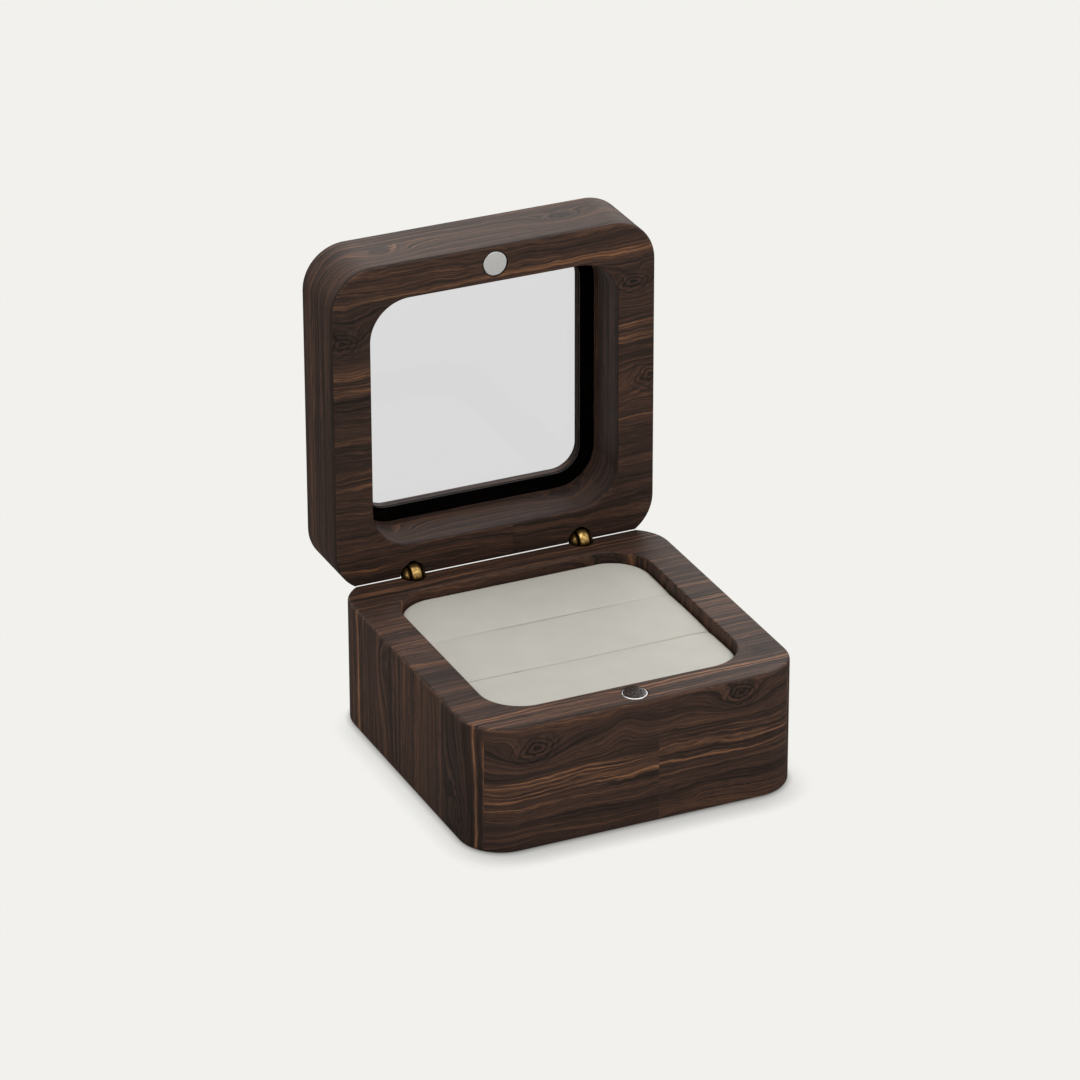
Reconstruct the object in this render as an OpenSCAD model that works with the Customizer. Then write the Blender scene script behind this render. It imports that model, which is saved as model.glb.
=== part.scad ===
// Ring display box: a hinged wooden box with a glazed lid, shown with its lid standing upright.
// The origin is the middle of the underside. The front looks along -Y and Z is up.

/* [Box] */
// Width over the sides
box_w = 70; // [60:1:100]
// Depth over front and rear, before the rear is planed flat
box_d = 70; // [60:1:100]
// Height of the base
base_h = 27; // [22:0.5:40]
// Height of the lid
lid_h = 15.4; // [12:0.1:25]
// Radius of the upright corners
corner_r = 9; // [6:0.5:14]
// Radius of the small rounding along every outer edge
edge_r = 0.75; // [0.4:0.05:1.5]
// Thickness planed off the rear, which leaves a flat face for the hinges
rear_flat = 1.5; // [1:0.1:3]
// Gap between base and lid when the box is shut
closed_gap = 0.2; // [0.1:0.05:0.5]

/* [Pocket in the base] */
// Thickness of the pocket's side walls
side_wall = 7.9; // [6:0.1:12]
// Thickness of the pocket's front wall, which holds the magnet
front_wall = 7.6; // [7:0.1:12]
// Thickness of the pocket's rear wall, which holds the hinges
rear_wall = 7; // [6:0.1:12]
// Thickness of the wood under the pocket
floor_t = 6; // [3:0.5:9]
// Radius of the pocket's upright corners
pocket_r = 8.5; // [6:0.5:12]
// Radius of the small rounding along the pocket's rim
rim_r = 0.4; // [0.2:0.05:0.6]

/* [Recess and window in the lid] */
// Thickness of the recess's side walls
lid_side_wall = 8.2; // [6:0.1:12]
// Thickness of the recess's front wall, which holds the magnet
lid_front_wall = 7.7; // [7:0.1:12]
// Thickness of the recess's rear wall, which holds the hinges
lid_rear_wall = 7.2; // [6:0.1:12]
// Radius of the recess's corners
recess_r = 8.5; // [6:0.5:12]
// Width of the ledge that the pane rests on
ledge_w = 2.8; // [2:0.1:4]
// Thickness of the lip round the window
lip_t = 1.7; // [1:0.1:3]
// Radius of the window's corners
window_r = 5.4; // [3:0.1:9]

/* [Pane and gasket] */
// Thickness of the pane
pane_t = 2; // [1:0.1:3]
// Thickness of the black gasket under the pane
gasket_t = 0.5; // [0.3:0.1:1.5]
// Clearance between the pane's edge and the recess's wall
pane_fit = 0.1; // [0.05:0.05:0.3]
// How far the gasket stays back from the window's edge
gasket_back = 0.15; // [0.05:0.05:0.5]

/* [Magnets] */
// Diameter of each catch magnet
magnet_d = 5.2; // [4:0.1:6]
// Thickness of each catch magnet
magnet_t = 2; // [1:0.5:4]
// Radius of the small rounding along each magnet's edge
magnet_edge = 0.25; // [0.1:0.05:0.4]
// Clearance round each magnet in its recess
magnet_fit = 0.12; // [0.05:0.01:0.3]

/* [Hinges] */
// Distance from the middle of each hinge to the side of the box
hinge_to_side = 16.5; // [13:0.5:23]
// Radius of the ball that the hinge's slices make
ball_r = 2.5; // [2:0.1:3]
// Radius of the shanks that are set in the wood
shank_r = 2; // [1.4:0.1:2]
// Width of the ball's middle slice
middle_slice_w = 2.3; // [1.8:0.1:2.4]
// Gap between the middle slice and each outer slice
slice_gap = 0.28; // [0.15:0.01:0.35]
// Clearance between the ball and the wood round it
ball_clear = 0.2; // [0.15:0.05:0.5]
// Radius of the cross pin
pin_r = 0.6; // [0.4:0.05:0.8]
// Clearance round the pin in the middle slice, where it turns
pin_run_fit = 0.05; // [0.02:0.01:0.08]
// Clearance round the pin in the outer slices, where it is fixed
pin_press_fit = 0.01; // [0.01:0.01:0.02]
// Clearance round each shank in its hole
shank_fit = 0.05; // [0.02:0.01:0.1]
// Wood left between the end of a shank and the pocket or the recess
wood_left = 0.6; // [0.4:0.1:2]
// Gap between the rear edges of base and lid when the lid stands upright
open_gap = 0.25; // [0.1:0.05:0.5]

/* [Cushion] */
// Thickness of the card under the rolls
board_t = 1.5; // [1:0.1:3]
// Clearance between the card or the rolls and the pocket's wall
cushion_fit = 0.3; // [0.2:0.05:0.6]
// Gap between neighbouring rolls
slot_gap = 0.2; // [0.1:0.05:0.5]
// Distance from the rim down to the crown of the rolls
crown_drop = 2.3; // [0.5:0.1:4]
// Rounding of the rolls along the pocket's front and rear walls
roll_edge_r = 2.4; // [1.5:0.1:4]
// Rounding of the rolls along the ring slots
roll_slot_r = 1; // [1:0.1:2.5]
// Slant along the top of the rolls' two ends
roll_end_slant = 1.6; // [0.8:0.1:3]
// Thickness of the leatherette skin
cover_t = 0.8; // [0.5:0.1:1.2]
// Clearance between the skin and the foam
foam_fit = 0.05; // [0.02:0.01:0.1]

/* [Hidden] */
$fn = 96;
cut = 1;
root2 = sqrt(2);

// Main planes of the box
front_y = -box_d / 2;
rear_y = box_d / 2 - rear_flat;

// Hinge axis: halfway up the closed gap, and inset so that the rounded rear edges clear each other
hinge_inset = closed_gap / 2 + 2 * edge_r - (2 * edge_r + open_gap) / root2;
axis_y = rear_y - hinge_inset;
axis_z = base_h + closed_gap / 2;
hinge_x = box_w / 2 - hinge_to_side;

// Pocket in the base
pocket_w = box_w - 2 * side_wall;
pocket_front = front_y + front_wall;
pocket_rear = rear_y - rear_wall;
pocket_d = pocket_rear - pocket_front;
pocket_y = (pocket_front + pocket_rear) / 2;

// Recess and window in the lid, measured with the box shut
lid_z = base_h + closed_gap;
recess_w = box_w - 2 * lid_side_wall;
recess_front = front_y + lid_front_wall;
recess_rear = rear_y - lid_rear_wall;
recess_d = recess_rear - recess_front;
recess_y = (recess_front + recess_rear) / 2;
recess_depth = lid_h - lip_t;
window_w = recess_w - 2 * ledge_w;
window_d = recess_d - 2 * ledge_w;
gasket_z = lid_z + recess_depth - gasket_t;
pane_z = gasket_z - pane_t;

// Magnets face each other across the gap
magnet_y = front_y + front_wall / 2;

// Hinge hardware
slice_in = middle_slice_w / 2;
slice_out = slice_in + slice_gap;
shank_start = ball_r + ball_clear;
base_reach = (rear_wall - hinge_inset - wood_left) * root2 - shank_r;
lid_reach = (lid_rear_wall - hinge_inset - wood_left) * root2 - shank_r;
ear_start = 1.2;
neck_overlap = 0.5;
neck_back = 0.1;
tip = 0.3;
brass_round_pin = 0.3;
pin_len = 2 * sqrt(pow(ball_r, 2) - pow(pin_r + brass_round_pin, 2));

// Cushion
board_z = floor_t;
roll_z = floor_t + board_t;
roll_top = base_h - crown_drop;
roll_h = roll_top - roll_z;
roll_w = (pocket_d - 2 * cushion_fit - 2 * slot_gap) / 3;
foam_in = cover_t + foam_fit;

walnut = [0.25, 0.18, 0.13];
brass = [0.62, 0.48, 0.25];
nickel = [0.78, 0.78, 0.80];
leatherette = [0.75, 0.74, 0.70];
foam = [0.90, 0.88, 0.80];

// Rectangle from the origin with its four corners rounded
module soft_rect(w, h, r) {
  translate([r, 0]) square([w - 2 * r, h]);
  translate([0, r]) square([w, h - 2 * r]);
  for (x = [r, w - r], y = [r, h - r])
    translate([x, y]) circle(r);
}

// Plan outline with round corners, centred on the origin
module plan(w, d, r) {
  translate([-w / 2, -d / 2]) soft_rect(w, d, r);
}

// Turns a profile drawn in Y and Z into a bar along X, centred on the origin
module bar_x(length) {
  rotate([90, 0, 90]) linear_extrude(length, center = true) children();
}

// Turns a profile drawn in X and Z into a bar along Y, centred on the origin
module bar_y(length) {
  rotate([90, 0, 0]) linear_extrude(length, center = true) children();
}

// Slab with round upright corners and rounded edges, standing on Z = 0
module soft_slab(w, d, h, r, e) {
  bar_x(w - 2 * r) translate([-d / 2, 0]) soft_rect(d, h, e);
  bar_y(d - 2 * r) translate([-w / 2, 0]) soft_rect(w, h, e);
  for (sx = [-1, 1], sy = [-1, 1])
    translate([sx * (w / 2 - r), sy * (d / 2 - r), 0])
      rotate_extrude() intersection() {
        translate([-r, 0]) soft_rect(2 * r, h, e);
        square([r, h]);
      }
}

// Half of the box: the slab with its rear planed flat and the new edges rounded
module half_block(h) {
  intersection() {
    soft_slab(box_w, box_d, h, corner_r, edge_r);
    bar_x(box_w + cut) translate([front_y - cut, 0]) soft_rect(rear_y - front_y + cut, h, edge_r);
  }
}

// Profile that a cutter needs to round a rim: outside the wall at X = 0 and below Z = 0
module rim_profile(e) {
  difference() {
    translate([-cut, -e]) square([e + cut, e + cut]);
    translate([e, -e]) circle(e);
    translate([e, -e - cut]) square([cut, e + 2 * cut]);
  }
}

// Cutter for a pocket with round corners, open at Z = 0, going down, with its rim rounded
module pocket_cutter(w, d, depth, r, e) {
  translate([0, 0, -depth]) linear_extrude(depth + cut) plan(w, d, r);
  for (s = [0, 180])
    rotate([0, 0, s]) {
      translate([w / 2, 0, 0]) bar_y(d - 2 * r) rim_profile(e);
      translate([0, d / 2, 0]) bar_x(w - 2 * r) rim_profile(e);
      for (m = [-1, 1])
        translate([w / 2 - r, m * (d / 2 - r), 0])
          rotate_extrude() intersection() {
            translate([r, 0]) rim_profile(e);
            translate([0, -depth]) square([r + e, depth + cut]);
          }
    }
}

// Puts what is drawn for the shut box where the open lid carries it
module open_pose() {
  translate([0, axis_y, axis_z]) rotate([-90, 0, 0]) translate([0, -axis_y, -axis_z]) children();
}

// Puts what is drawn along -Z from the hinge axis on the slanting line into the base
module along_base_shank() {
  translate([0, axis_y, axis_z]) rotate([-45, 0, 0]) children();
}

// The same for the lid, with the box shut
module along_lid_shank() {
  translate([0, axis_y, axis_z]) rotate([-135, 0, 0]) children();
}

// Room for the ball and one shank in either half
module hinge_room(reach) {
  sphere(ball_r + ball_clear);
  translate([0, 0, -reach - shank_fit]) cylinder(h = reach + shank_fit, r = shank_r + shank_fit);
}

module magnet_recess() {
  translate([0, 0, -magnet_t]) cylinder(h = magnet_t + cut, d = magnet_d + 2 * magnet_fit);
}

module base_block() {
  color(walnut) difference() {
    half_block(base_h);
    translate([0, pocket_y, base_h]) pocket_cutter(pocket_w, pocket_d, base_h - floor_t, pocket_r, rim_r);
    translate([0, magnet_y, base_h]) magnet_recess();
    for (sx = [-1, 1])
      translate([sx * hinge_x, 0, 0]) along_base_shank() hinge_room(base_reach);
  }
}

module lid_frame() {
  color(walnut) open_pose() difference() {
    translate([0, 0, lid_z]) half_block(lid_h);
    translate([0, recess_y, lid_z]) mirror([0, 0, 1])
      pocket_cutter(recess_w, recess_d, recess_depth, recess_r, rim_r);
    translate([0, recess_y, lid_z]) linear_extrude(lid_h + cut) plan(window_w, window_d, window_r);
    translate([0, magnet_y, lid_z]) mirror([0, 0, 1]) magnet_recess();
    for (sx = [-1, 1])
      translate([sx * hinge_x, 0, 0]) along_lid_shank() hinge_room(lid_reach);
  }
}

module window_pane() {
  color("lightblue", 0.4) open_pose() translate([0, recess_y, pane_z])
    linear_extrude(pane_t) plan(recess_w - 2 * pane_fit, recess_d - 2 * pane_fit, recess_r - pane_fit);
}

module window_gasket() {
  color("black") open_pose() translate([0, recess_y, gasket_z]) linear_extrude(gasket_t) difference() {
    plan(recess_w - 2 * pane_fit, recess_d - 2 * pane_fit, recess_r - pane_fit);
    plan(window_w + 2 * gasket_back, window_d + 2 * gasket_back, window_r + gasket_back);
  }
}

// Disc with rounded edges, standing on Z = 0
module magnet_disc() {
  rotate_extrude() intersection() {
    translate([-magnet_d / 2, 0]) soft_rect(magnet_d, magnet_t, magnet_edge);
    square([magnet_d / 2, magnet_t]);
  }
}

module base_magnet() {
  color(nickel) translate([0, magnet_y, base_h - magnet_t]) magnet_disc();
}

module lid_magnet() {
  color(nickel) open_pose() translate([0, magnet_y, lid_z]) magnet_disc();
}

// The shank from the end of the ball's room to its tip, which is eased by a small cone
module shank(reach) {
  translate([0, 0, -reach + tip]) cylinder(h = reach - tip - shank_start, r = shank_r);
  translate([0, 0, -reach]) cylinder(h = tip, r1 = shank_r - tip, r2 = shank_r);
}

// Two blocks that keep only what lies beyond the gaps beside the middle slice
module outer_zone() {
  for (sx = [-1, 1])
    translate([sx * (slice_out + ball_r), 0, 0]) cube([2 * ball_r, 4 * ball_r, 4 * ball_r], center = true);
}

// Slice of the ball between two distances from its middle, bored for the pin, with its axis along X
module ball_slice(x0, x1, bore) {
  rotate([0, 90, 0]) rotate_extrude() difference() {
    intersection() {
      circle(ball_r);
      translate([0, x0]) square([ball_r, x1 - x0]);
    }
    translate([-cut, -ball_r]) square([cut + bore, 2 * ball_r]);
  }
}

module base_barrel() {
  bore = pin_r + pin_press_fit;
  color(brass) along_base_shank() {
    shank(base_reach);
    for (m = [0, 1]) mirror([m, 0, 0]) ball_slice(slice_out, ball_r, bore);
    intersection() {
      translate([0, 0, -shank_start - neck_overlap])
        cylinder(h = shank_start + neck_overlap - ear_start, r = shank_r - neck_back);
      outer_zone();
    }
  }
}

module lid_barrel() {
  bore = pin_r + pin_run_fit;
  color(brass) open_pose() along_lid_shank() {
    shank(lid_reach);
    ball_slice(-slice_in, slice_in, bore);
    translate([0, 0, -shank_start - neck_overlap])
      cylinder(h = shank_start + neck_overlap - ear_start, r = slice_in - neck_back);
  }
}

module hinge_pin() {
  color(brass) translate([0, axis_y, axis_z]) rotate([0, 90, 0])
    cylinder(h = pin_len, r = pin_r, center = true);
}

module insert_board() {
  color("tan") translate([0, pocket_y, board_z]) linear_extrude(board_t)
    plan(pocket_w - 2 * cushion_fit, pocket_d - 2 * cushion_fit, pocket_r - cushion_fit);
}

// Upright rectangle with only its two upper corners rounded
module arched(x0, x1, h, r0, r1) {
  middle = (x0 + x1) / 2;
  translate([x0, 0]) square([x1 - x0, h - max(r0, r1)]);
  translate([x0 + r0, 0]) square([x1 - x0 - r0 - r1, h]);
  translate([x0, 0]) square([middle - x0, h - r0]);
  translate([middle, 0]) square([x1 - middle, h - r1]);
  translate([x0 + r0, h - r0]) circle(r0);
  translate([x1 - r1, h - r1]) circle(r1);
}

// Slants the top edge at the two ends of a bar that lies along X and is `h` high
module end_cutters(half_w, h, slant) {
  for (m = [0, 1])
    mirror([m, 0, 0]) translate([half_w, pocket_y, h]) bar_y(box_d)
      polygon([[cut, cut], [-slant - cut, cut], [cut, -slant - cut]]);
}

// One roll of the cushion, drawn in by `in` on its sides and its top. The front and rear rolls also have
// round corners, where they follow the pocket
module roll_form(i, in, drop = 0) {
  y0 = pocket_front + cushion_fit + i * (roll_w + slot_gap) + in;
  y1 = y0 + roll_w - 2 * in;
  half_w = pocket_w / 2 - cushion_fit - in;
  r_front = (i == 0 ? roll_edge_r : roll_slot_r) - in;
  r_rear = (i == 2 ? roll_edge_r : roll_slot_r) - in;
  h = roll_h - in + drop;
  translate([0, 0, roll_z - drop]) difference() {
    if (i == 1)
      bar_x(2 * half_w) arched(y0, y1, h, r_front, r_rear);
    else
      intersection() {
        bar_x(2 * half_w) arched(y0, y1, h, r_front, r_rear);
        translate([0, pocket_y, -cut]) linear_extrude(h + 2 * cut)
          plan(2 * half_w, pocket_d - 2 * cushion_fit - 2 * in, pocket_r - cushion_fit - in);
      }
    end_cutters(half_w, h, roll_end_slant - (2 - root2) * in);
  }
}

module roll_cover(i) {
  color(leatherette) difference() {
    roll_form(i, 0);
    roll_form(i, cover_t, cut);
  }
}

module roll_core(i) {
  color(foam) roll_form(i, foam_in);
}

base_block();
lid_frame();
window_pane();
window_gasket();
base_magnet();
lid_magnet();
translate([-hinge_x, 0, 0]) base_barrel();  // hinge_left_base_barrel
translate([hinge_x, 0, 0]) base_barrel();  // hinge_right_base_barrel
translate([-hinge_x, 0, 0]) lid_barrel();  // hinge_left_lid_barrel
translate([hinge_x, 0, 0]) lid_barrel();  // hinge_right_lid_barrel
translate([-hinge_x, 0, 0]) hinge_pin();  // hinge_left_pin
translate([hinge_x, 0, 0]) hinge_pin();  // hinge_right_pin
insert_board();
roll_cover(0);  // roll_front_cover
roll_cover(1);  // roll_middle_cover
roll_cover(2);  // roll_rear_cover
roll_core(0);  // roll_front_core
roll_core(1);  // roll_middle_core
roll_core(2);  // roll_rear_core
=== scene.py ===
# %% [markdown]
# # A walnut ring box with a glazed lid
# The box stands open on a pale table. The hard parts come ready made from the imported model, at their
# real size and in their real place. This script dresses them: it lays walnut grain on the two
# halves, ages the brass, plates the magnets, tints the pane, and sews up the three soft rolls that
# hold the rings. Everything is in metres, as the model is.

import math

import bpy
from mathutils import Matrix, Vector


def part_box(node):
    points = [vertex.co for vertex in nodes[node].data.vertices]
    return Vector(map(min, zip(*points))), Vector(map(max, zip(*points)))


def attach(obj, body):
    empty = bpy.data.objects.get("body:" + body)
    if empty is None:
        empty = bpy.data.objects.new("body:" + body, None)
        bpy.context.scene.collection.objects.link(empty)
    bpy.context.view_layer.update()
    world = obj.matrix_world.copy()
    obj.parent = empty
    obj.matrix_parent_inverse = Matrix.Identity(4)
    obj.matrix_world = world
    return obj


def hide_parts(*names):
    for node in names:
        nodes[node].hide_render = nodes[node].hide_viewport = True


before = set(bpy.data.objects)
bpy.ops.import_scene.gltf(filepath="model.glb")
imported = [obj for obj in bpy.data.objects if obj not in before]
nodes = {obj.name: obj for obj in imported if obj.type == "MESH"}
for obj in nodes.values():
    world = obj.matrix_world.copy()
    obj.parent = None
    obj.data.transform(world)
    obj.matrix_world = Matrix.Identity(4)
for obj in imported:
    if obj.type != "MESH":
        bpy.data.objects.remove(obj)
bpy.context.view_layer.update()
MM = 0.001

# %% [markdown]
# ## The camera
# The photograph was taken from the front and a little to the left, looking down by about 26 degrees,
# with a long lens: the far edges of the box are hardly shorter than the near ones. Where a camera
# stands can be found by trial, but here it was worked out from the box's outlines, so it is written
# as a direction, a distance and a point to look at.

# %% Stand the camera where the photographer stood
YAW, PITCH, ROLL = math.radians(-24.554), math.radians(26.227), math.radians(-0.135)
AIM = Vector((-5.676, 0, 46.962)) * MM
DISTANCE = 1083.7 * MM
LENS, SENSOR = 185.38, 36

back = Vector((math.sin(YAW) * math.cos(PITCH), -math.cos(YAW) * math.cos(PITCH), math.sin(PITCH)))
level_right = Vector((math.cos(YAW), math.sin(YAW), 0))
level_up = back.cross(level_right)
right = level_right * math.cos(ROLL) + level_up * math.sin(ROLL)
up = level_up * math.cos(ROLL) - level_right * math.sin(ROLL)

lens = bpy.data.cameras.new("long_lens")
lens.lens, lens.sensor_width = LENS, SENSOR
camera = bpy.data.objects.new("camera", lens)
bpy.context.scene.collection.objects.link(camera)
turn = Matrix((right, up, back)).transposed().to_4x4()
camera.matrix_world = Matrix.Translation(AIM + back * DISTANCE) @ turn
bpy.context.scene.camera = camera
print("camera at, mm:", [round(v / MM) for v in camera.matrix_world.translation])

# %% [markdown]
# ## A bench for laying out shaders
# Each finish is a small network of nodes. Wiring nodes one call at a time is long, so this bench
# has short methods: each adds one node, plugs in what it is given, and hands back its output. A
# number is written on the socket, and an output of another node is linked to it.

# %% Colours
def tone(red, green, blue):
    """A colour picked on a screen, from 0 to 255, as the linear light that shaders use."""
    def linear(level):
        level /= 255
        return level / 12.92 if level <= 0.04045 else ((level + 0.055) / 1.055) ** 2.4
    return (linear(red), linear(green), linear(blue), 1.0)


print("a middle grey of 128 is linear", round(tone(128, 128, 128)[0], 3))

# %% Wiring and sums
class Wiring:
    """Adds nodes to one network."""

    def __init__(self, tree):
        self.tree = tree

    def add(self, kind, **settings):
        node = self.tree.nodes.new("ShaderNode" + kind)
        for key, value in settings.items():
            setattr(node, key, value)
        return node

    def plug(self, value, socket):
        if isinstance(value, bpy.types.NodeSocket):
            self.tree.links.new(value, socket)
        else:
            socket.default_value = value

    def wired(self, node, *values):
        """Plugs values into a node's first sockets."""
        for value, socket in zip(values, node.inputs):
            self.plug(value, socket)
        return node.outputs[0]

    def math(self, operation, *values):
        return self.wired(self.add("Math", operation=operation), *values)

    def times(self, first, *others):
        for other in others:
            first = self.math("MULTIPLY", first, other)
        return first

    def total(self, first, *others):
        for other in others:
            first = self.math("ADD", first, other)
        return first

    def less(self, value, other):
        return self.math("SUBTRACT", value, other)


# %% Places and colours
COLOUR_A, COLOUR_B, COLOUR_OUT = 6, 7, 2


class Drawing(Wiring):
    """Adds what works on places and colours. A Mix node has sockets for every kind of data, and
    those for colours are the numbers above."""

    def place(self, output="Object"):
        return self.add("TexCoord").outputs[output]

    def spot(self):
        """Where a point of the surface lies, in mm."""
        return self.scaled(self.place(), 1 / MM)

    def vector(self, operation, *values):
        node = self.add("VectorMath", operation=operation)
        self.wired(node, *values)
        return node.outputs["Value" if operation == "LENGTH" else "Vector"]

    def scaled(self, vector, factor):
        node = self.add("VectorMath", operation="SCALE")
        self.plug(factor, node.inputs["Scale"])
        return self.wired(node, vector)

    def split(self, vector):
        node = self.add("SeparateXYZ")
        self.wired(node, vector)
        return node.outputs[0], node.outputs[1], node.outputs[2]

    def join(self, x, y, z):
        return self.wired(self.add("CombineXYZ"), x, y, z)

    def spread(self, value, low, high, to_low=0.0, to_high=1.0):
        """Maps the range from low to high on another range, and stops at its ends."""
        return self.wired(self.add("MapRange", clamp=True), value, low, high, to_low, to_high)

    def mix(self, share, first, second):
        node = self.add("Mix", data_type="RGBA")
        self.plug(share, node.inputs[0])
        self.plug(first, node.inputs[COLOUR_A])
        self.plug(second, node.inputs[COLOUR_B])
        return node.outputs[COLOUR_OUT]


# %% [markdown]
# Noise is rarely far from its middle, so `swing` takes the range in which most of it falls and
# turns it into a number from -most to most.

# %% The bench of one finish
NOISE_LOW, NOISE_HIGH = 0.3, 0.7


class Bench(Drawing):
    """The network of one material, round its Principled shader."""

    def __init__(self, name):
        self.material = bpy.data.materials.new(name)
        self.material.use_nodes = True
        super().__init__(self.material.node_tree)
        self.finish = self.tree.nodes["Principled BSDF"]

    def noise(self, vector, scale=1.0, detail=2.0, roughness=0.5):
        node = self.add("TexNoise")
        self.plug(vector, node.inputs["Vector"])
        for key, value in {"Scale": scale, "Detail": detail, "Roughness": roughness}.items():
            node.inputs[key].default_value = value
        return node.outputs["Fac"]

    def swing(self, noise, most):
        return self.spread(noise, NOISE_LOW, NOISE_HIGH, -most, most)

    def ramp(self, value, *stops):
        node = self.add("ValToRGB")
        self.plug(value, node.inputs[0])
        marks = node.color_ramp.elements
        while len(marks) < len(stops):
            marks.new(0.5)
        for mark, (position, colour) in zip(marks, stops):
            mark.position, mark.color = position, colour
        return node.outputs[0]

    def bump(self, height, distance, strength):
        node = self.add("Bump")
        node.inputs["Distance"].default_value = distance
        node.inputs["Strength"].default_value = strength
        self.plug(height, node.inputs["Height"])
        self.plug(node.outputs[0], self.finish.inputs["Normal"])

    def set(self, **sockets):
        for key, value in sockets.items():
            self.plug(value, self.finish.inputs[key.replace("_", " ")])
        return self.material


# %% Dress the hard parts
def dress(material, *names):
    """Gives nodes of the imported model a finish."""
    for name in names:
        slots = nodes[name].data.materials
        slots.clear()
        slots.append(material)
    print(material.name, "on", ", ".join(names))


print("parts to dress:", len(nodes))

# %% [markdown]
# ## Table and backdrop
# The box was shot on a pale grey sweep. It looks the same everywhere, and only a narrow dark halo
# shows where the base meets it. A lit floor would shade off towards the box on all sides, so to the
# camera, and in glass and metal, this floor is an even glow. To all other rays it is plain paint,
# so it throws soft light back on the wood.

# %% Table
SWEEP = tone(242, 241, 237)
TABLE_HALF = 4.0

table = bpy.data.meshes.new("table")
corners = [(x * TABLE_HALF, y * TABLE_HALF, 0) for x, y in ((-1, -1), (1, -1), (1, 1), (-1, 1))]
table.from_pydata(corners, [], [(0, 1, 2, 3)])
floor = bpy.data.objects.new("table", table)
bpy.context.scene.collection.objects.link(floor)
print("table:", [round(v, 1) for v in floor.dimensions], "m")

# %% [markdown]
# Ambient occlusion tells how open the view is round a point. It darkens the glow where the box
# comes near, so the halo follows the box in every pose. The halo is wider in front, on the side
# away from the light, so a second occlusion that looks to the back is laid over the first. That
# node ignores a direction that is typed in, so the direction comes from a node of its own.

# %% Halo round the base
HALO_ROUND, HALO_FRONT = 1.4 * MM, 7.5 * MM
HALO_TOWARDS = (0.20, 0.80, 0.56)
AO_SAMPLES = 8


def occlusion(bench, reach, towards, low, high):
    """How open the view is within `reach`, from 0 to 1, about the direction `towards`."""
    node = bench.add("AmbientOcclusion", samples=AO_SAMPLES)
    node.inputs["Distance"].default_value = reach
    bench.plug(bench.join(*towards), node.inputs["Normal"])
    return bench.spread(node.outputs["AO"], low, high)


paint = Bench("table_paint")
paint.set(Base_Color=SWEEP, Roughness=0.9, Specular_IOR_Level=0.0)
halo_round = occlusion(paint, HALO_ROUND, (0, 0, 1), -0.5, 0.98)
halo_front = occlusion(paint, HALO_FRONT, HALO_TOWARDS, -0.35, 0.85)
halo = paint.times(halo_round, halo_front)
print("halo reaches, mm:", round(HALO_ROUND / MM, 1), "and", round(HALO_FRONT / MM, 1), "in front")

# %% [markdown]
# The sides of the real box show hardly any sheen. So in reflections the floor is dark behind and
# under the box and a little in front of it, and only farther in front as light as it looks. Behind
# glass it stays light, so that the pane shows the sweep.

# %% The floor in reflections
SHADE_BACK, SHADE_FRONT, SHADED = -75 * MM, -165 * MM, 0.18


def looks(bench):
    """1 where the camera, glass or metal looks, and 0 where light only bounces."""
    path = bench.add("LightPath").outputs
    metal_or_camera = bench.math("MAXIMUM", path["Is Camera Ray"], path["Is Glossy Ray"])
    return bench.math("MAXIMUM", metal_or_camera, path["Is Transmission Ray"])


depth = paint.split(paint.place())[1]
shade_there = paint.spread(depth, SHADE_FRONT, SHADE_BACK, 1.0, SHADED)
ray = paint.add("LightPath").outputs
in_reflections = paint.times(ray["Is Glossy Ray"], paint.less(1, ray["Is Transmission Ray"]))
seen = paint.times(halo, paint.spread(in_reflections, 0, 1, 1.0, shade_there))
glow = paint.add("Emission")
paint.plug(paint.mix(seen, (0, 0, 0, 1), SWEEP), glow.inputs["Color"])
chosen = paint.wired(paint.add("MixShader"), looks(paint), paint.finish.outputs[0], glow.outputs[0])
paint.plug(chosen, paint.tree.nodes["Material Output"].inputs["Surface"])
table.materials.append(paint.material)
print("the floor reflects", SHADED, "of its light near the box")

# %% [markdown]
# ## Light
# The light is very soft and casts no shadow with an edge. The wood of the top faces is nearly twice
# as bright as that of the sides, and has a grey sheen. So the light comes from above, as from a big
# softbox over the table, with some from behind. Three lights give that: a weak even dome, a sun as
# wide as a softbox from above, and a second one from behind.

# %% Dome
DOME_LIGHT = 0.32

world = bpy.data.worlds.new("dome")
bpy.context.scene.world = world
world.use_nodes = True
sky = Drawing(world.node_tree)
dome_colour = sky.mix(looks(sky), (DOME_LIGHT, DOME_LIGHT, DOME_LIGHT, 1), SWEEP)
sky.plug(dome_colour, world.node_tree.nodes["Background"].inputs["Color"])
bpy.context.scene.view_settings.view_transform = "Standard"
print("the dome lights with", DOME_LIGHT)

# %% Two wide suns
def wide_sun(name, strength, degrees, towards):
    """A sun that is some degrees wide, shining from the direction `towards`."""
    lamp = bpy.data.lights.new(name, "SUN")
    lamp.energy, lamp.angle = strength, math.radians(degrees)
    sun = bpy.data.objects.new(name, lamp)
    sun.rotation_euler = Vector(towards).to_track_quat("Z", "Y").to_euler()
    bpy.context.scene.collection.objects.link(sun)
    print(name, strength, "from", towards)


wide_sun("softbox", strength=1.70, degrees=80, towards=(0.03, -0.22, 0.97))
wide_sun("back_light", strength=0.95, degrees=60, towards=(0.37, 0.78, 0.50))

# %% [markdown]
# ## Walnut
# On the front, the rear, the top and inside the lid the grain runs from left to right. On the two
# sides it stands upright, so it meets the front's in a hard joint halfway round each corner, as
# veneer does. A wood photograph would be the quick way, but it would stretch over the corners. Here
# the grain is worked out from the place on the box, in mm, and its colour is one of five tones on a
# ramp from dark to light.

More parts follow.
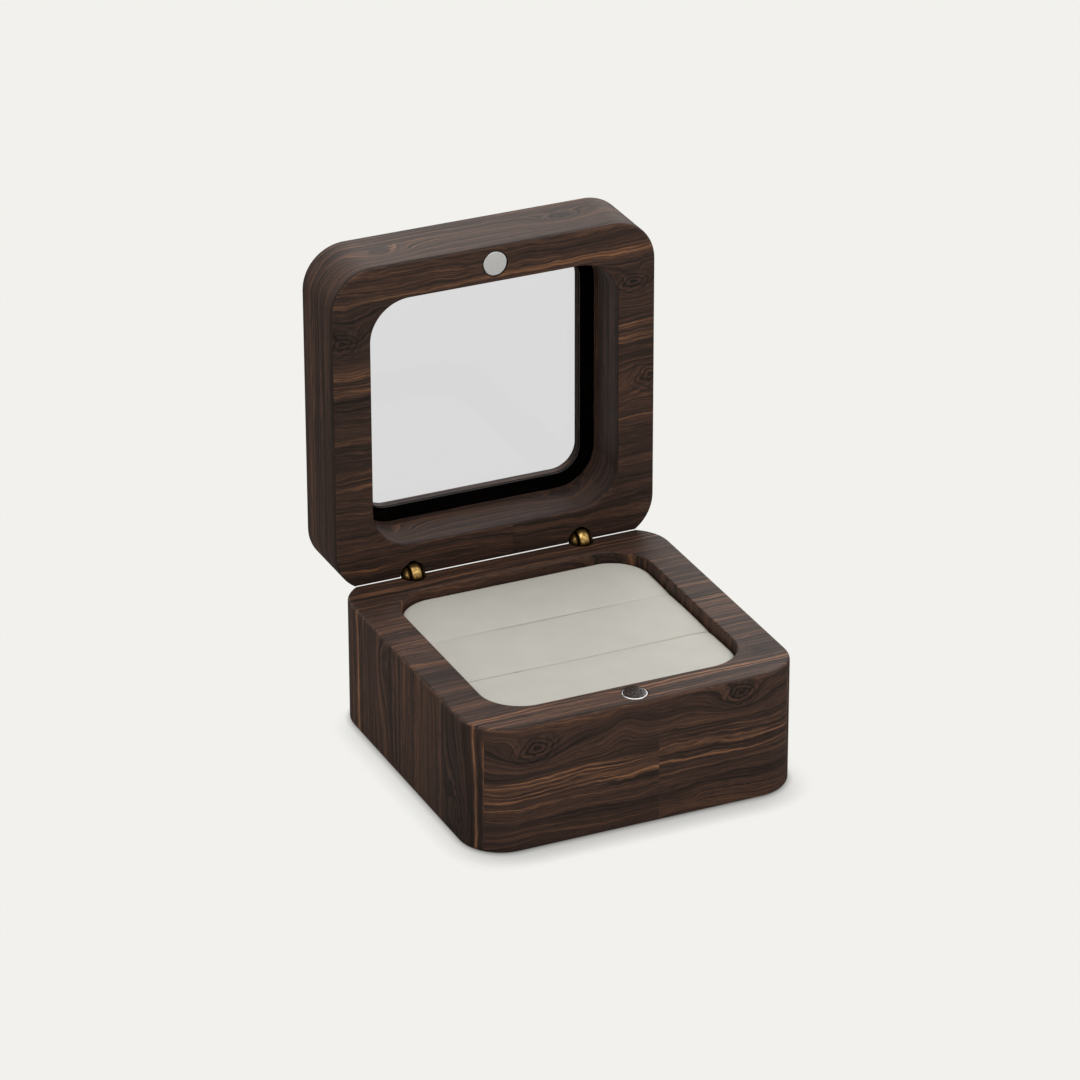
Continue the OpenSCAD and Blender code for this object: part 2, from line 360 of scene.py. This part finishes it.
# %% Walnut's colours
WALNUT = [
    (0.00, tone(30, 22, 17)),
    (0.28, tone(48, 35, 29)),
    (0.48, tone(66, 47, 39)),
    (0.70, tone(96, 67, 50)),
    (1.00, tone(152, 105, 72)),
]
PORE_COLOUR = tone(28, 21, 17)
print("tones of walnut:", len(WALNUT))

# %% [markdown]
# A face is of one of three kinds: `side`, `front` (which is also the rear and the lid's inner face)
# or `top`. Each kind is another leaf of veneer, and the front has a second leaf to the right of a
# joint, where the grain jumps by a small step. In the noise, a leaf is a place far from the others.

# %% A bench for veneer
WOOD_JOINT, JOINT_STEP = 3.5, 1.5
SIDE_LEAF, TOP_LEAF, SECOND_LEAF = 17.3, 41.9, 0.3


class Veneer(Bench):
    """Knows the kind of face, the place along and across the grain, and the leaf. The second leaf
    reaches up to `joint_top`."""

    def __init__(self, name, seed, joint_top):
        super().__init__(name)
        x, y, z = self.split(self.spot())
        nx, ny, nz = self.split(self.vector("ABSOLUTE", self.place("Normal")))
        side = self.math("GREATER_THAN", nx, self.math("MAXIMUM", ny, nz))
        upright = self.times(self.math("GREATER_THAN", ny, nz), self.less(1, side))
        level = self.less(self.less(1, side), upright)
        self.faces = {"side": side, "front": upright, "top": level}
        past_joint = self.math("GREATER_THAN", x, WOOD_JOINT)
        under_top = self.math("LESS_THAN", z, joint_top)
        self.second_leaf = self.times(upright, past_joint, under_top)
        self.along = self.total(x, self.times(side, self.less(z, x)))
        self.across = self.total(y, self.times(upright, self.less(z, y)))
        face_leaf = self.total(self.times(side, SIDE_LEAF), self.times(level, TOP_LEAF), seed)
        self.leaf = self.total(face_leaf, self.times(self.second_leaf, SECOND_LEAF))

    def stretched(self, value, per_mm_along, per_mm_across, detail=2.0, roughness=0.5):
        """Noise that changes slowly along the grain and fast across it."""
        along, across = self.times(self.along, per_mm_along), self.times(value, per_mm_across)
        return self.noise(self.join(along, across, self.leaf), 1.0, detail, roughness)

    def off(self, value, centre, width):
        """How many widths a value lies from a centre."""
        return self.math("DIVIDE", self.less(value, centre), width)

    def hill(self, value, centre, width):
        """A bell curve of that width."""
        away = self.off(value, centre, width)
        return self.math("POWER", math.e, self.times(away, away, -1))


# %% [markdown]
# The distance across the grain is bent by a slow drift, a ripple and a shiver, which are weaker on
# the sides and the top, and by a few knots. A knot is a smooth hill added to that distance. Round
# it the bent distance has closed contours, and every line of the grain follows them. That gives the
# eyes and flames of the photograph.

# %% Bend the grain
DRIFT, RIPPLE, SHIVER = 1.2, 0.45, 0.12
CALM_SIDE, CALM_TOP = 0.25, 0.45


def knot(v, centre, size, lift):
    hill_along = v.hill(v.along, centre[0], size[0])
    return v.times(hill_along, lift, v.hill(v.across, centre[1], size[1]))


def bend_grain(v, knots):
    """The distance across the grain, in mm, after all that bends it."""
    drift = v.swing(v.stretched(v.across, 0.020, 0.06), DRIFT)
    ripple = v.swing(v.stretched(v.across, 0.10, 0.22), RIPPLE)
    shiver = v.swing(v.stretched(v.across, 0.34, 0.5), SHIVER)
    calm_side, calm_top = v.times(v.faces["side"], CALM_SIDE), v.times(v.faces["top"], CALM_TOP)
    share = v.total(v.faces["front"], calm_side, calm_top)
    bent = v.total(v.across, v.times(v.total(drift, ripple), share), shiver)
    bent = v.less(bent, v.times(v.second_leaf, JOINT_STEP))
    for face, centre, size, lift in knots:
        bent = v.total(bent, v.times(knot(v, centre, size, lift), v.faces[face]))
    return bent


# %% [markdown]
# An eye is the set of dark rings round a knot's heart. A band is a stretch across the grain that is
# rich in streaks, and a line is one light streak, or a dark one where its strength is negative; one
# wide dark line on the base's top is painted shade. A growth ring ends in dark late wood. The rings
# lie closer in some places than in others, and each one is strong or weak over most of its length.

# %% Eyes, bands, lines and growth rings
EYE_RINGS, EYE_UNEVEN, EYE_EDGE = 3.4, 0.14, (0.1, 1.15)
RINGS_PER_MM, CROWDING = 0.55, 5.0


def eye(v, centre, size):
    """Rings that are uneven, and fade outwards."""
    spot = v.join(v.off(v.along, centre[0], size[0]), v.off(v.across, centre[1], size[1]), 0.0)
    out = v.total(v.vector("LENGTH", spot), v.swing(v.noise(spot, 1.6), EYE_UNEVEN))
    rings = v.math("SINE", v.times(out, math.tau * EYE_RINGS))
    return v.times(v.spread(rings, 0.0, 0.7), v.spread(out, *EYE_EDGE, 1.0, 0.0))


def drawn(v, bent, figure):
    """How much there is of bands, of lines and of eyes at each point."""
    def on_face(face, centre, width, strength):
        return v.times(v.hill(bent, centre, width), v.times(v.faces[face], strength))

    bands, lines, eyes = 0.0, 0.0, 0.0
    for band in figure["bands"]:
        bands = v.math("MAXIMUM", bands, on_face(*band))
    for line in figure["lines"]:
        lines = v.total(lines, on_face(*line))
    for face, centre, size in figure["eyes"]:
        eyes = v.total(eyes, v.times(eye(v, centre, size), v.faces[face]))
    return bands, lines, eyes


def late_wood(v, bent):
    crowding = v.stretched(bent, 0.006, 0.20, 1.0)
    ring = v.total(v.times(bent, RINGS_PER_MM), v.times(crowding, CROWDING))
    number = v.join(v.math("FLOOR", ring), v.leaf, v.times(v.along, 0.02))
    strength = v.spread(v.noise(number, 0.83, 1.0), 0.35, 0.6)
    return v.times(v.spread(v.math("FRACT", ring), 0.66, 0.98), strength)


# %% [markdown]
# Now the grain is put together. The shade starts at the ramp's middle. Broad bands, streaks and
# light hairs lift it or lower it, more so in a band of the figure and on top. Dark hairs, late wood
# and eyes lower it. Last come the fibres and the short open pores, which are also the relief.

# %% Walnut veneer
MIDDLE, BROAD, FIBRE = 0.46, 0.12, 0.09
STREAKS, LIGHT_HAIR = (0.10, 0.36), (0.13, 0.36)
BAND, DARK_HAIR, LATE_WOOD, EYE, PORE = 0.08, 0.25, 0.20, 0.50, 0.55
TOP_LIVELY, LIVELIEST = 0.6, 1.6
RELIEF, PORE_DEPTH = 0.02 * MM, 0.8


def walnut(name, seed, joint_top, figure):
    """Places in `figure` are in mm on the face: knots (face, centre, size, lift), eyes (face,
    centre, size), bands and lines (face, centre, width, strength)."""
    v = Veneer(name, seed, joint_top)
    bent = bend_grain(v, figure["knots"])
    bands, lines, eyes = drawn(v, bent, figure)

    broad = v.swing(v.stretched(bent, 0.005, 0.16, 1.0), BROAD)
    streaks = v.spread(v.stretched(bent, 0.011, 0.95, 3.0, 0.62), 0.34, 0.68, -1.0, 1.0)
    light_hair = v.spread(v.stretched(bent, 0.030, 2.6, 3.0, 0.72), 0.51, 0.60)
    dark_hair = v.spread(v.stretched(bent, 0.020, 1.7, 3.0, 0.72), 0.47, 0.39)
    fade = v.spread(v.stretched(bent, 0.07, 0.6, 1.0), 0.35, 0.65, 0.55, 1.15)
    fibre = v.stretched(bent, 0.35, 6.0, 2.0, 0.6)
    pores = v.spread(v.stretched(bent, 0.24, 6.0, 1.0), 0.60, 0.68)

    lively = v.total(bands, v.times(v.faces["top"], TOP_LIVELY))
    streaks = v.times(streaks, v.spread(lively, 0, LIVELIEST, *STREAKS))
    light_hair = v.times(light_hair, v.spread(lively, 0, LIVELIEST, *LIGHT_HAIR))
    shade = v.total(MIDDLE, broad, streaks, v.times(bands, BAND), light_hair, v.times(lines, fade))
    dark = v.total(v.times(dark_hair, DARK_HAIR), v.times(late_wood(v, bent), LATE_WOOD))
    dark = v.total(dark, v.times(eyes, EYE))
    shade = v.total(v.less(shade, dark), v.swing(fibre, FIBRE))

    colour = v.mix(v.times(pores, PORE), v.ramp(shade, *WALNUT), PORE_COLOUR)
    v.bump(v.less(fibre, v.times(pores, PORE_DEPTH)), RELIEF, 0.35)
    rough = v.spread(shade, 0, 1, 0.60, 0.50)
    return v.set(Base_Color=colour, Roughness=rough, Specular_IOR_Level=0.18)


# %% Veneer of the base
base_figure = {
    "knots": [
        ("front", (-22.5, 20.6), (6.5, 3.0), 4.6),
        ("front", (21, 23.2), (6.0, 2.8), 4.4),
        ("front", (-4, 22.0), (3.2, 4.5), -2.2),
        ("front", (-20, -1.0), (11.0, 3.4), -3.4),
        ("front", (10, -1.0), (11.0, 3.8), -4.2),
        ("side", (21, 12.0), (12, 4.0), -4.5),
        ("side", (6, -25.0), (13, 4.2), 5.5),
    ],
    "eyes": [
        ("front", (-22.5, 21.6), (5.2, 3.6)),
        ("front", (21, 24.0), (4.4, 3.0)),
        ("side", (5, -25.0), (9.0, 3.6)),
        ("top", (30, -25), (2.6, 3.0)),
    ],
    "bands": [
        ("front", 13.6, 3.4, 1.0),
        ("side", -4.0, 6.5, 0.55),
        ("side", 23.0, 3.0, 0.8),
        ("top", 29.5, 2.5, 0.8),
        ("top", -30.5, 2.6, 0.9),
        ("top", -3.0, 8.0, 0.35),
    ],
    "lines": [
        ("front", 11.3, 0.30, 0.26),
        ("front", 10.5, 0.36, -0.16),
        ("front", 12.4, 0.22, 0.22),
        ("front", 13.4, 0.24, 0.24),
        ("front", 14.3, 0.20, 0.22),
        ("front", 15.2, 0.24, 0.22),
        ("front", 16.3, 0.20, 0.20),
        ("front", 9.0, 0.24, 0.16),
        ("front", 7.2, 0.22, 0.14),
        ("front", 4.9, 0.50, -0.16),
        ("side", 23.2, 0.36, 0.34),
        ("side", 22.2, 0.40, -0.22),
        ("side", 20.4, 0.36, 0.16),
        ("side", 3.6, 0.45, 0.20),
        ("side", 2.4, 0.45, -0.18),
        ("side", -17.3, 0.36, 0.36),
        ("side", -18.4, 0.45, -0.20),
        ("side", -29.2, 0.50, -0.20),
        ("side", -30.2, 0.40, 0.42),
        ("side", -31.3, 0.45, -0.26),
        ("side", -32.3, 0.30, 0.44),
        ("top", -10.0, 0.40, 0.25),
        ("top", 5.2, 0.40, 0.20),
        ("top", -29.3, 0.40, 0.26),
        # This wide dark line on the rear rail, right in front of the lid, is painted shade: the lid
        # keeps light and sheen off it.
        ("top", 30.0, 4.00, -0.17),
    ],
}
dress(walnut("walnut_base", 3.0, 18.0, base_figure), "base_block")

# %% Veneer of the lid
lid_figure = {
    "knots": [
        ("front", (-31, 80), (6.0, 4.0), 4.6),
        ("front", (30, 81), (7.0, 4.0), 4.6),
        ("front", (33, 62), (7.0, 4.0), -4.0),
        ("top", (18, 41), (7.0, 2.6), 4.0),
        ("top", (-22, 39), (8.0, 2.8), 4.2),
    ],
    "eyes": [
        ("front", (30, 82), (5.0, 2.8)),
        ("front", (34, 61), (5.0, 3.4)),
        ("front", (-33, 80), (5.0, 3.4)),
        ("top", (18, 42), (5.0, 1.8)),
    ],
    "bands": [
        ("front", 71.0, 3.4, 1.0),
        ("front", 91.0, 3.0, 0.7),
        ("front", 30.5, 3.0, 0.6),
        ("front", 50.0, 5.0, 0.5),
        ("top", 46.5, 2.0, 0.9),
        ("side", 43.5, 1.5, 0.8),
    ],
    "lines": [
        ("side", 43.5, 0.35, 0.30),
        ("front", 69.5, 0.40, 0.30),
        ("front", 72.6, 0.30, 0.24),
        ("front", 74.0, 0.24, 0.20),
        ("front", 52.0, 0.30, 0.22),
        ("front", 88.6, 0.30, 0.20),
    ],
}
dress(walnut("walnut_lid", 8.0, 34.0, lid_figure), "lid_frame")

# %% [markdown]
# ## Brass
# The two ball hinges are turned brass that has been browned. The brown wears off where fingers and
# the other half rub, so the crown of the ball shines and the grooves stay dark. Ambient occlusion
# darkens the colour in the gaps between the slices and where the ball sits in the wood: that is the
# brown kept in the grooves, and painted shade as well. A dark ring next to each gap is painted shade
# that makes the groove look deeper, and thin rings of noise round the turning axis stand for lathe
# marks.

# %% Where the hinges are
pin_low, pin_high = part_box("hinge_right_pin")
HINGE_X = (pin_low.x + pin_high.x) / 2 / MM
GROOVE_X, GROOVE_DARK, GROOVE_FADE = 1.29, 0.24, 0.46
print("hinges at, mm:", round(-HINGE_X, 2), "and", round(HINGE_X, 2))

# %% Aged brass, with painted shade
BRASS = [(0.0, tone(28, 19, 10)), (0.60, tone(98, 74, 40)), (1.0, tone(204, 172, 106))]
LATHE_MARK = tone(92, 66, 34)
GAP_REACH = 1.1 * MM


def aged_brass():
    b = Bench("aged_brass")
    x, y, z = b.split(b.spot())
    turned = b.noise(b.join(b.times(x, 6.0), b.times(y, 0.5), z), 1.0, 3.0, 0.6)
    cloud = b.noise(b.spot(), 1.1, 3.0, 0.6)
    hollow = b.add("AmbientOcclusion", samples=AO_SAMPLES)
    hollow.inputs["Distance"].default_value = GAP_REACH
    # Darker where gaps and the wood come near: the brown kept in the grooves, and painted shade as
    # well.
    open_sky = b.spread(hollow.outputs["AO"], 0.45, 0.98)
    off_middle = b.less(x, b.times(b.math("SIGN", x), HINGE_X))
    off_groove = b.math("ABSOLUTE", b.less(b.math("ABSOLUTE", off_middle), GROOVE_X))
    # A dark ring next to each gap between the slices: painted shade that makes the groove look deeper.
    groove_shade = b.spread(off_groove, GROOVE_DARK, GROOVE_FADE)
    # How bright the brass is: rubbed bright where open, browned and painted with shade near the gaps.
    wear_and_shade = b.times(open_sky, b.spread(cloud, 0.30, 0.62, 0.50, 1.0), groove_shade)
    marks = b.spread(turned, 0.35, 0.70, 0.0, 0.30)
    colour = b.mix(marks, b.ramp(wear_and_shade, *BRASS), LATHE_MARK)
    b.bump(turned, 0.015 * MM, 0.4)
    rough = b.spread(wear_and_shade, 0, 1, 0.50, 0.22)
    return b.set(Base_Color=colour, Metallic=1.0, Roughness=rough)


dress(aged_brass(), *[n for n in nodes if n.startswith("hinge")])

# %% [markdown]
# ## Nickel, glass, gasket, card and foam
# The catch magnets are nickel plated discs with a satin shine and fine scratches. The pane is clear
# with a faint grey tint: it darkens the sweep behind it from almost white to light grey, and it
# reflects little. A black rubber gasket lies under the pane, and a grey card under the rolls. The
# foam inside the rolls is hidden too, but it is there, so it has its open cells.

# %% Nickel plating
def nickel():
    b = Bench("nickel_plating")
    cloud = b.noise(b.spot(), 2.2, 3.0, 0.6)
    scratches = b.noise(b.vector("MULTIPLY", b.spot(), (0.8, 9.0, 9.0)))
    colour = b.ramp(cloud, (0.3, tone(186, 186, 187)), (0.7, tone(198, 198, 198)))
    b.bump(scratches, 0.003 * MM, 0.25)
    rough = b.spread(cloud, NOISE_LOW, NOISE_HIGH, 0.10, 0.14)
    return b.set(Base_Color=colour, Metallic=1.0, Roughness=rough)


dress(nickel(), "base_magnet", "lid_magnet")

# %% Pane and gasket
PANE = [(0.3, (0.792, 0.799, 0.830, 1)), (0.7, (0.799, 0.806, 0.837, 1))]
LESS_MIRROR = (0.35, 0.35, 0.35, 1)


def pane_glass():
    b = Bench("pane_glass")
    b.set(Roughness=0.0, IOR=1.45, Transmission_Weight=1.0, Specular_Tint=LESS_MIRROR)
    return b.set(Base_Color=b.ramp(b.noise(b.spot(), 0.05), *PANE))


def gasket_rubber():
    b = Bench("gasket_rubber")
    grain = b.noise(b.spot(), 6.0)
    colour = b.ramp(grain, (0.3, tone(64, 61, 57)), (0.7, tone(76, 73, 69)))
    b.bump(grain, 0.02 * MM, 0.4)
    return b.set(Base_Color=colour, Roughness=0.7, Specular_IOR_Level=0.15)


dress(pane_glass(), "window_pane")
dress(gasket_rubber(), "window_gasket")

# %% Card and foam
ROLLS = ("front", "middle", "rear")


def grey_card():
    b = Bench("grey_card")
    pulp = b.noise(b.vector("MULTIPLY", b.spot(), (1.0, 2.4, 1.0)), 1.6, 4.0, 0.7)
    colour = b.ramp(pulp, (0.3, tone(140, 128, 108)), (0.7, tone(176, 164, 142)))
    b.bump(pulp, 0.04 * MM, 0.5)
    return b.set(Base_Color=colour, Roughness=0.9)


def roll_foam():
    b = Bench("roll_foam")
    cells = b.add("TexVoronoi")
    b.plug(b.spot(), cells.inputs["Vector"])
    cells.inputs["Scale"].default_value = 1.8
    pit = cells.outputs["Distance"]
    colour = b.ramp(pit, (0.0, tone(200, 192, 168)), (0.6, tone(232, 226, 206)))
    b.bump(pit, 0.12 * MM, 0.7)
    return b.set(Base_Color=colour, Roughness=0.95)


dress(grey_card(), "insert_board")
dress(roll_foam(), *[f"roll_{r}_core" for r in ROLLS])

# %% [markdown]
# ## The rolls
# Three foam rolls in leatherette lie side by side, and a ring is pushed down between two of them.
# Together they make one cushion: its outline follows the pocket, it falls away softly along the
# walls, and the slots are hairlines in shallow creases. A box with rounded edges would look like a
# tablet. Each skin is instead made as a grid of rows, cut to the pocket's outline and then inflated
# with the cloth solver, which gives the soft unevenness of a stuffed skin.

# %% Outline of the cushion
CUSHION_R = 8.2 * MM
pocket_low, pocket_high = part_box("insert_board")
half_w = (pocket_high.x - pocket_low.x) / 2
half_d = (pocket_high.y - pocket_low.y) / 2
mid_y = (pocket_high.y + pocket_low.y) / 2


def inset(x, y):
    """How far a point lies inside the cushion's outline, a rectangle with round corners."""
    qx, qy = abs(x) - (half_w - CUSHION_R), abs(y - mid_y) - (half_d - CUSHION_R)
    return CUSHION_R - math.hypot(max(qx, 0), max(qy, 0)) - min(max(qx, qy), 0)


def reach_at(y):
    """Half the cushion's width at a distance from its middle."""
    over = max(0.0, abs(y - mid_y) - (half_d - CUSHION_R))
    return half_w - CUSHION_R + math.sqrt(max(CUSHION_R**2 - over**2, 0.0))


print("cushion, mm:", round(2 * half_w / MM, 1), "by", round(2 * half_d / MM, 1))

# %% [markdown]
# Along the walls the skin turns down in a soft round, and a wider, shallower shoulder leads to it,
# which is almost gone along the rear wall. At a slot two skins press together, so there is only a
# crease, and each roll also falls a little towards its slots.

# %% Rounds, shoulders and creases
CROWN = 0.35 * MM
WALL_ROUND, WALL_TURN = 1.2 * MM, 0.72 * MM
SHOULDER_W, SHOULDER, REAR_FULLER = 5.0 * MM, 0.24 * MM, 0.9
CREASE_W, CREASE, REAR_FADE = 0.7 * MM, 0.19 * MM, 0.8
ROLL_DOME = 0.22 * MM


def rounding(distance, width, depth):
    """How far a rounded edge has dropped at a distance inside it."""
    gone = 1 - min(max(distance, 0.0) / width, 1.0)
    return depth * (1 - math.sqrt(1 - gone**2))


def fall(distance, width, depth):
    """The same for a shoulder, which starts gently and is steepest at the edge."""
    return depth * (1 - min(max(distance, 0.0) / width, 1.0)) ** 2


def crease_at(slot, x):
    """The rear crease fades out towards both ends."""
    return CREASE * (1 - REAR_FADE * (x / half_w) ** 2 * (slot == "rear"))


print("the cushion's crown stands proud by, mm:", round(CROWN / MM, 2))

# %% [markdown]
# Both slots lie a little nearer to the front than in the hard model, and the middle roll, the
# fullest, bows them outwards. The front slot gapes at its two ends and the rear one in the middle,
# and the front slot has one small pucker where the seam catches.

# %% Slots
front_cover, middle_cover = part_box("roll_front_cover"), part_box("roll_middle_cover")
half_slot = (middle_cover[0].y - front_cover[1].y) / 2
ALL_ALONG = -0.25 * MM
IN_MIDDLE = {"front": -0.30 * MM, "rear": 0.08 * MM}
FRONT_GAP, FRONT_GAPE = 0.045 * MM, 0.045 * MM
REAR_GAP, REAR_PINCH, LEAST_GAP = 0.11 * MM, 0.20 * MM, 0.005 * MM
PUCKER_X, PUCKER_W, PUCKER = -15.2 * MM, 0.7 * MM, 0.14 * MM


def slot_half_gap(slot, x):
    share = abs(x) / half_w
    if slot == "rear":
        return max(REAR_GAP - REAR_PINCH * share**2, LEAST_GAP)
    return FRONT_GAP + FRONT_GAPE * share**2 + PUCKER * math.exp(-(((x - PUCKER_X) / PUCKER_W) ** 2))


def slot_shift(slot, x, side):
    """How far a slot's edge lies from where the hard model has it. `side` is 1 behind the slot."""
    moved = ALL_ALONG + IN_MIDDLE[slot] * (1 - (x / half_w) ** 2)
    return moved + side * (slot_half_gap(slot, x) - half_slot)


print("slot in the hard model, mm:", round(2 * half_slot / MM, 2))

# %% Crown of a roll
SLOTS = {"front": (None, "front"), "middle": ("front", "rear"), "rear": ("rear", None)}


def crown_point(t, s, low, high, slots):
    """A point of the roll's top, t of the way across it and s of the way along it."""
    y = (low.y + high.y) / 2 + t * (high.y - low.y) / 2
    x = s * reach_at(y)
    in_from_wall = inset(x, y)
    shoulder = SHOULDER * (1 - REAR_FULLER * max(0.0, (y - mid_y) / half_d))
    drop = rounding(in_from_wall, WALL_ROUND, WALL_TURN) + fall(in_from_wall, SHOULDER_W, shoulder)
    before, behind = slots
    moved = 0.0
    if before:
        moved += (1 - t) / 2 * slot_shift(before, x, 1)
        drop += fall(y - low.y, CREASE_W, crease_at(before, x)) + ROLL_DOME * max(-t, 0) ** 2
    if behind:
        moved += (1 + t) / 2 * slot_shift(behind, x, -1)
        drop += fall(high.y - y, CREASE_W, crease_at(behind, x)) + ROLL_DOME * max(t, 0) ** 2
    return (x, y + moved, high.z + CROWN - drop)


def eased(count):
    """Positions from -1 to 1 that crowd together at both ends."""
    return [math.sin(math.pi / 2 * (-1 + 2 * i / count)) for i in range(count + 1)]


print("the middle roll has slots", SLOTS["middle"])

# %% [markdown]
# A skin is closed: the crown, the same grid again as the underside, and a skirt of quads between
# the two rims. The rows crowd together at the edges, where the skin turns down.

# %% Skin of one roll
COLUMNS, ROWS, SKIRT = 72, 36, 8


def rim_of_grid(wide):
    """The points round the crown, in order."""
    near, far = list(range(COLUMNS)), [ROWS * wide + c for c in range(COLUMNS, 0, -1)]
    right_end = [r * wide + COLUMNS for r in range(ROWS)]
    left_end = [r * wide for r in range(ROWS, 0, -1)]
    return near + right_end + far + left_end


def roll_skin(low, high, slots):
    """Points and quads, and how many of the points are crown."""
    points = [crown_point(t, s, low, high, slots) for t in eased(ROWS) for s in eased(COLUMNS)]
    wide, crown = COLUMNS + 1, len(points)
    starts = [r * wide + c for r in range(ROWS) for c in range(COLUMNS)]
    grid = [(i, i + 1, i + wide + 1, i + wide) for i in starts]
    rim = rim_of_grid(wide)
    points += [(x, y, low.z) for x, y, z in points]
    quads = grid + [tuple(crown + i for i in reversed(quad)) for quad in grid]
    loops = [rim]
    for k in range(1, SKIRT):
        loops.append(list(range(len(points), len(points) + len(rim))))
        for i in rim:
            x, y, z = points[i]
            points.append((x, y, z + (low.z - z) * k / SKIRT))
    loops.append([crown + i for i in rim])
    for upper, lower in zip(loops, loops[1:]):
        for i in range(len(rim)):
            j = (i + 1) % len(rim)
            quads.append((upper[i], lower[i], lower[j], upper[j]))
    return points, quads, crown


print("rows and columns in each skin:", ROWS, COLUMNS)

# %% [markdown]
# Leatherette is a coated cloth with a pressed grain: small pebbles with thin valleys between them.
# A cell pattern makes the pebbles, a noise keeps their borders from being straight, and a finer one
# roughens them. The valleys are painted a little darker, as painted shade. The coat is satin, so it
# has a faint broad sheen and no sharp reflection.

# %% Leatherette
SKIN = [(0.30, tone(198, 195, 185)), (0.70, tone(202, 199, 189))]
# The colour of the painted shade in the valleys between the pebbles.
VALLEY_SHADE = tone(170, 166, 154)


def leatherette():
    b = Bench("leatherette")
    spot = b.spot()
    wobble = b.add("TexNoise")
    b.plug(spot, wobble.inputs["Vector"])
    cells = b.add("TexVoronoi", feature="DISTANCE_TO_EDGE")
    b.plug(b.vector("ADD", spot, b.scaled(wobble.outputs["Color"], 0.6)), cells.inputs["Vector"])
    cells.inputs["Scale"].default_value = 1.9
    pebble = b.spread(cells.outputs["Distance"], 0.0, 0.16)
    fine = b.noise(spot, 4.5, 3.0, 0.6)
    # Darker towards the pebbles' edges: painted shade in the valleys of the grain.
    valley = b.spread(pebble, 0.0, 0.6, 0.10, 0.0)
    colour = b.mix(valley, b.ramp(b.noise(spot, 0.16), *SKIN), VALLEY_SHADE)
    b.bump(b.total(b.times(pebble, 0.5), fine), 0.03 * MM, 0.55)
    rough = b.spread(fine, NOISE_LOW, NOISE_HIGH, 0.52, 0.60)
    return b.set(Base_Color=colour, Roughness=rough, Specular_IOR_Level=0.30)


hide = leatherette()
print("finish of the rolls:", hide.name)

# %% [markdown]
# The skin is inflated at twenty times its size, because the cloth solver is tuned to clothes. The
# sides and the underside are held. The swelling is damped towards walls and slots and is a fifth of
# a millimetre at most, so the outline and the slots stay as they were cut.

# %% Inflate a skin
ENLARGED, FRAMES, PRESSURE = 20.0, 20, 4


def inflate(mesh, crown):
    """Runs the cloth solver on an enlarged copy, and returns how far each point rose."""
    start = [v.co.copy() for v in mesh.vertices]
    trial = bpy.data.objects.new("trial", mesh.copy())
    bpy.context.scene.collection.objects.link(trial)
    trial.data.transform(Matrix.Scale(ENLARGED, 4))
    held = trial.vertex_groups.new(name="held")
    held.add(list(range(crown, len(start))), 1.0, "REPLACE")
    cloth = trial.modifiers.new("skin", "CLOTH")
    cloth.settings.use_pressure = True
    cloth.settings.uniform_pressure_force = PRESSURE
    cloth.settings.effector_weights.gravity = 0
    cloth.settings.vertex_group_mass = "held"
    cloth.point_cache.frame_end = FRAMES
    for number in range(1, FRAMES + 1):
        bpy.context.scene.frame_set(number)
    solved = trial.evaluated_get(bpy.context.evaluated_depsgraph_get()).to_mesh()
    rise = [v.co.z / ENLARGED - home.z for v, home in zip(solved.vertices, start)]
    bpy.data.objects.remove(trial)
    bpy.context.scene.frame_set(1)
    return rise


# %% Puff up a skin
DAMPED, PUFF = 5.0 * MM, 0.20 * MM


def puff_up(mesh, crown, low, high, slots):
    """Lifts the crown as the solver did, less near walls and slots."""
    rise = inflate(mesh, crown)
    for vertex in mesh.vertices[:crown]:
        x, y = vertex.co.x, vertex.co.y
        edges = [inset(x, y)] + [y - low.y] * bool(slots[0]) + [high.y - y] * bool(slots[1])
        freedom = min(1.0, max(0.0, min(edges)) / DAMPED)
        vertex.co.z += max(-PUFF, min(PUFF, rise[vertex.index])) * freedom
    print("rose up to, mm:", round(max(rise[:crown]) / MM, 2))


# %% Sew the rolls
def sew_roll(name):
    low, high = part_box(f"roll_{name}_cover")
    points, quads, crown = roll_skin(low, high, SLOTS[name])
    mesh = bpy.data.meshes.new(f"{name}_roll")
    mesh.from_pydata(points, [], quads)
    mesh.materials.append(hide)
    mesh.shade_smooth()
    puff_up(mesh, crown, low, high, SLOTS[name])
    roll = bpy.data.objects.new(f"{name}_roll", mesh)
    bpy.context.scene.collection.objects.link(roll)
    smooth = roll.modifiers.new("smooth", "SUBSURF")
    smooth.levels = smooth.render_levels = 1
    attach(roll, "base")
    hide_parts(f"roll_{name}_cover")
    print(name, "roll:", len(mesh.vertices), "points")


for roll_name in ROLLS:
    sew_roll(roll_name)
